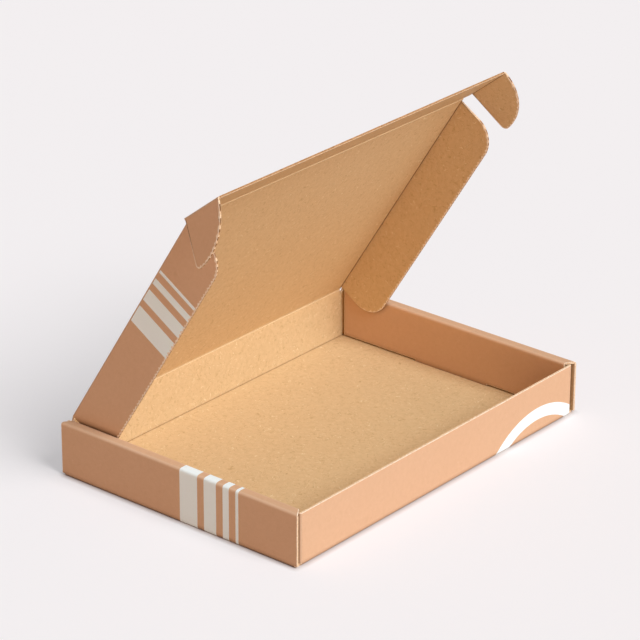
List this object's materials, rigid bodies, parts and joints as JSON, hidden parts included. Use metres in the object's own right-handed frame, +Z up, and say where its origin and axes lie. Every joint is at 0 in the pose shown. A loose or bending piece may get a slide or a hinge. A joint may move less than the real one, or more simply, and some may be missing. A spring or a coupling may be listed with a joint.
{
  "type": "corrugated mailer box",
  "caption": "Shallow corrugated mailer box with rolled double-wall ends, standing with its hinged lid, tuck flap and locking ears half open.",
  "frame": {"origin": "middle of the tray's underside, on the surface the box stands on", "axes": "+X along the long side to the right, +Y from the front wall to the hinged back wall, +Z up"},
  "size_m": [0.3378, 0.218, 0.2519],
  "materials": {
    "kraft_board": "matt uncoated kraft liner"
  },
  "bodies": {
    "tray": {"tray": "kraft_board"},
    "lid": {"lid_panel": "kraft_board"},
    "tuck": {"tuck_flap": "kraft_board"},
    "flap_left": {"lid_flap_left": "kraft_board"},
    "flap_right": {"lid_flap_right": "kraft_board"},
    "ear_left": {"ear_left": "kraft_board"},
    "ear_right": {"ear_right": "kraft_board"}
  },
  "joints": [
    {"name": "lid_hinge", "type": "hinge", "parent": "tray", "child": "lid", "pos_m": [0, 0.1076, 0.0414], "axis": [-1, 0, 0], "range_deg": [-58, 122]},
    {"name": "tuck_crease", "type": "hinge", "parent": "lid", "child": "tuck", "pos_m": [0, -0.00798, 0.22636], "axis": [1, 0, 0], "range_deg": [-20, 70]},
    {"name": "flap_left_crease", "type": "hinge", "parent": "lid", "child": "flap_left", "pos_m": [-0.1476, 0.04969, 0.13257], "axis": [0, -0.5299, 0.848], "range_deg": [0, 85]},
    {"name": "flap_right_crease", "type": "hinge", "parent": "lid", "child": "flap_right", "pos_m": [0.1476, 0.04969, 0.13257], "axis": [0, 0.5299, -0.848], "range_deg": [0, 85]},
    {"name": "ear_left_crease", "type": "hinge", "parent": "tuck", "child": "ear_left", "pos_m": [-0.1556, -0.00798, 0.22636], "axis": [0, -0.788, 0.6157], "range_deg": [-5.72, 20.01]},
    {"name": "ear_right_crease", "type": "hinge", "parent": "tuck", "child": "ear_right", "pos_m": [0.1556, -0.00798, 0.22636], "axis": [0, 0.788, -0.6157], "range_deg": [-5.72, 20.01]}
  ],
  "couplings": [
    {"joint": "ear_left_crease", "follows": "tuck_crease", "ratio": 0.28571},
    {"joint": "ear_right_crease", "follows": "tuck_crease", "ratio": 0.28571}
  ]
}
